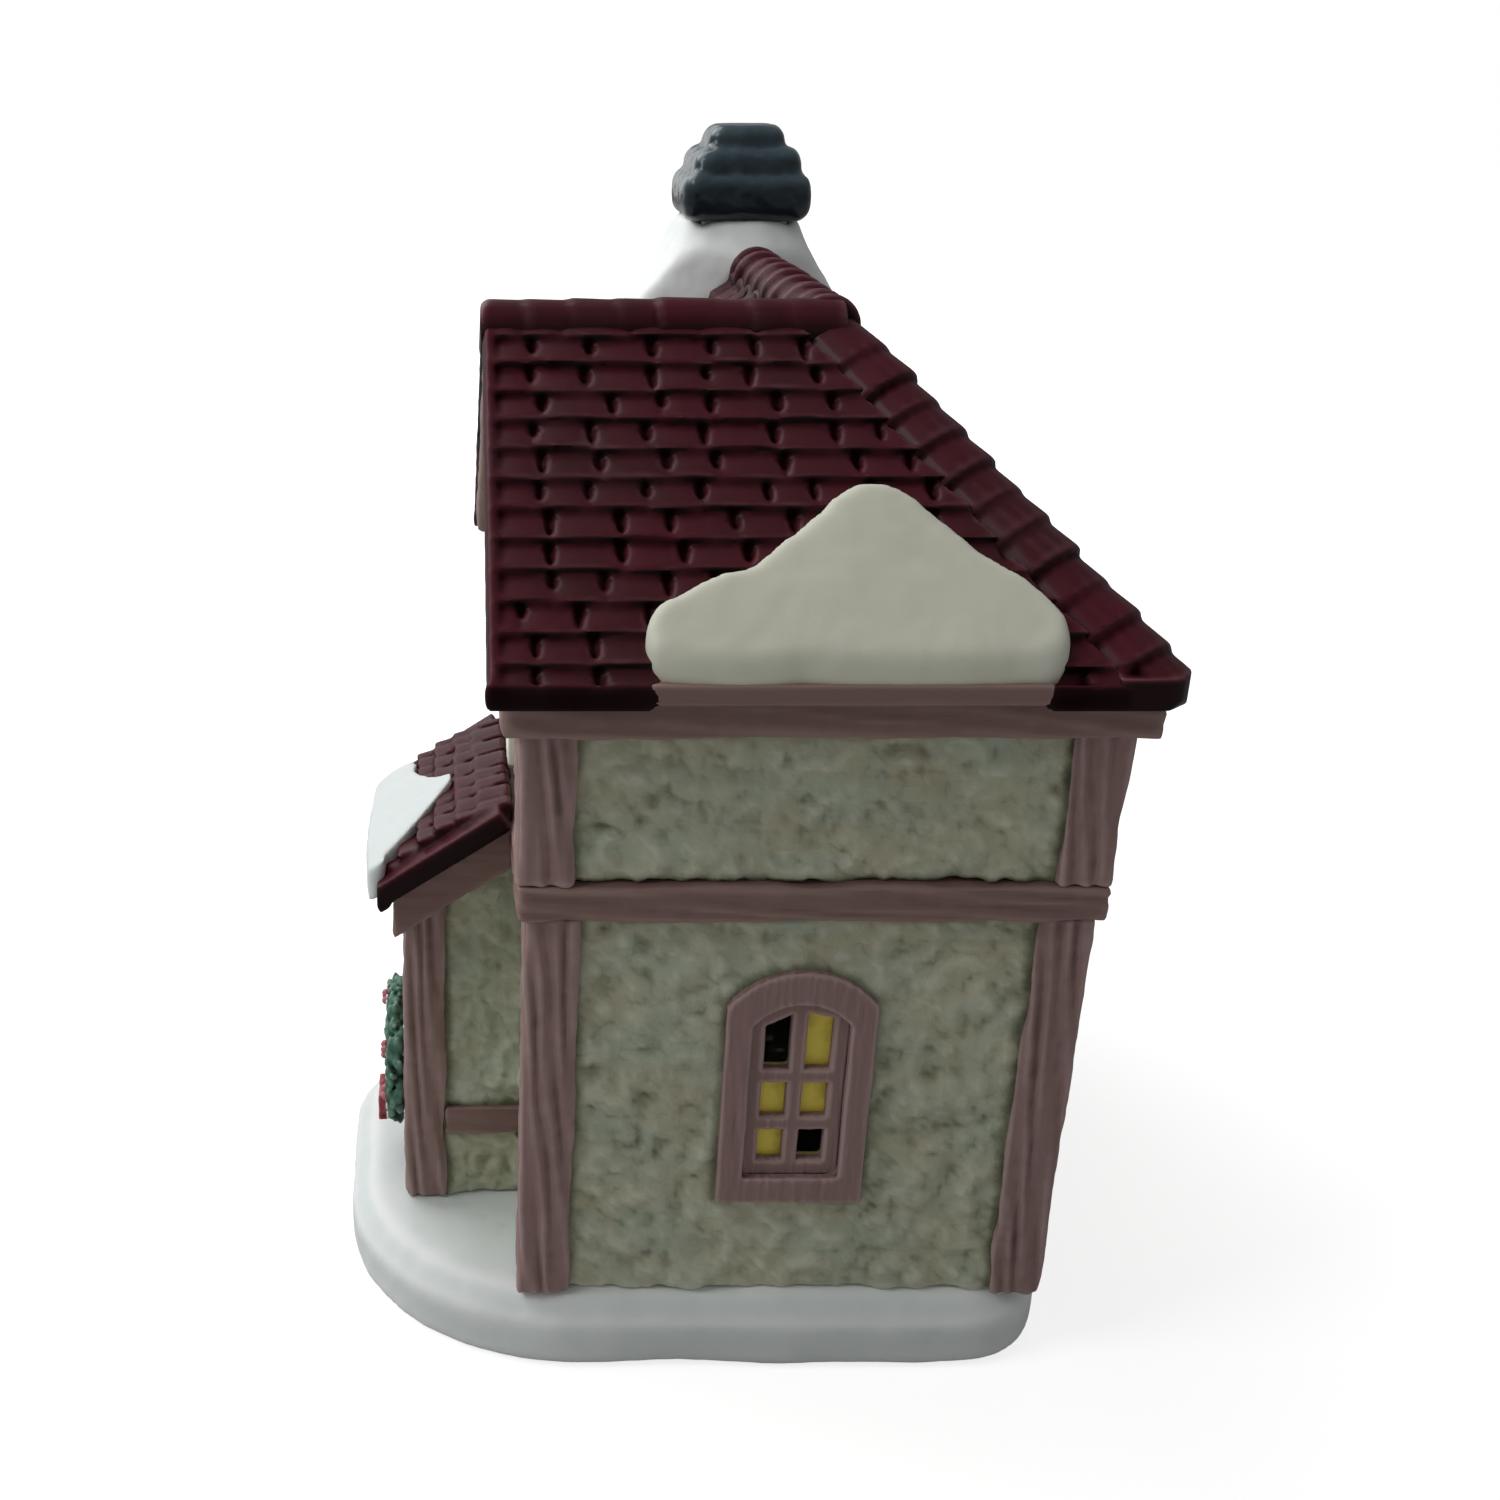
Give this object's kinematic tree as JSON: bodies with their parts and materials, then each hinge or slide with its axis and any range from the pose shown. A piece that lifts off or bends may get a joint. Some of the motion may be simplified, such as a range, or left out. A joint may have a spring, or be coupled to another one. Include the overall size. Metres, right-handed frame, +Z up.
{
  "type": "ceramic christmas village house",
  "caption": "Painted ceramic village house with a tiled roof, snow base, porch and chimney, lit from inside by a snap-in lamp in its back wall",
  "frame": {"origin": "middle of the footprint, on the table", "axes": "+Z up, the house front faces -Y, the side with the arched window faces +X"},
  "size_m": [0.16, 0.1218, 0.19],
  "materials": {
    "snow": "matt white paint on bisque",
    "stucco": "matt grey-green paint on rough bisque",
    "timber": "matt mauve-brown paint on grained bisque",
    "roof_glaze": "gloss maroon glaze",
    "slate_glaze": "gloss slate-blue glaze",
    "pane_yellow": "yellow paint on bisque",
    "cream": "cream paint on bisque",
    "evergreen": "dark green paint with white flecks",
    "ribbon": "red paint on bisque",
    "socket_plastic": "moulded white",
    "spring_steel": "plain spring steel",
    "brass": "drawn brass",
    "bulb_glass": "clear blown glass"
  },
  "bodies": {
    "house": {"belt_beam": "timber", "chimney_cap": "slate_glaze", "chimney_snow": "snow", "chimney_stack": "stucco", "cornice": "timber", "door_wreath": "evergreen", "eave_board_right": "timber", "front_door": "timber", "front_window_frame": "timber", "front_window_panes": "pane_yellow", "front_window_sash": "timber", "gable_wall_front": "stucco", "gable_wall_left": "stucco", "ground_base": "snow", "hip_caps": "roof_glaze", "lower_post_back_left": "timber", "lower_post_back_right": "timber", "lower_post_front_left": "timber", "lower_post_front_right": "timber", "lower_post_wing_left": "timber", "lower_walls": "stucco", "porch_post_left": "timber", "porch_post_right": "timber", "porch_rail_left": "timber", "porch_rail_right": "timber", "porch_roof_deck": "timber", "porch_snow": "snow", "porch_tiles": "roof_glaze", "porch_wall_front": "stucco", "porch_wall_left": "stucco", "porch_wall_right": "stucco", "ridge_caps_main": "roof_glaze", "ridge_caps_wing": "roof_glaze", "roof_shell": "timber", "roof_snow": "snow", "side_window_frame": "timber", "side_window_panes": "pane_yellow", "side_window_sash": "timber", "tiles_back": "roof_glaze", "tiles_main_front": "roof_glaze", "tiles_right": "roof_glaze", "tiles_wing_left": "roof_glaze", "upper_brace_left": "timber", "upper_brace_right": "timber", "upper_garland": "evergreen", "upper_post_back_left": "timber", "upper_post_back_right": "timber", "upper_post_front_left": "timber", "upper_post_front_right": "timber", "upper_post_wing_left": "timber", "upper_walls": "stucco", "upper_window_frame": "cream", "upper_window_panes": "pane_yellow", "upper_window_sash": "cream", "wreath_bow": "ribbon"},
    "lamp": {"lamp_socket": "socket_plastic", "lamp_contact_shell": "brass", "lamp_spring_clip": "spring_steel"},
    "bulb": {"bulb_cap": "brass", "bulb_glass": "bulb_glass"}
  },
  "joints": [
    {"name": "lamp_pull", "type": "slide", "parent": "house", "child": "lamp", "axis": [0, 1, 0], "range_m": [0, 0.065]},
    {"name": "bulb_turn", "type": "hinge", "parent": "lamp", "child": "bulb", "pos_m": [0.0288, 0.03, 0.036], "axis": [0, -1, 0], "range_deg": [0, 1440]}
  ]
}
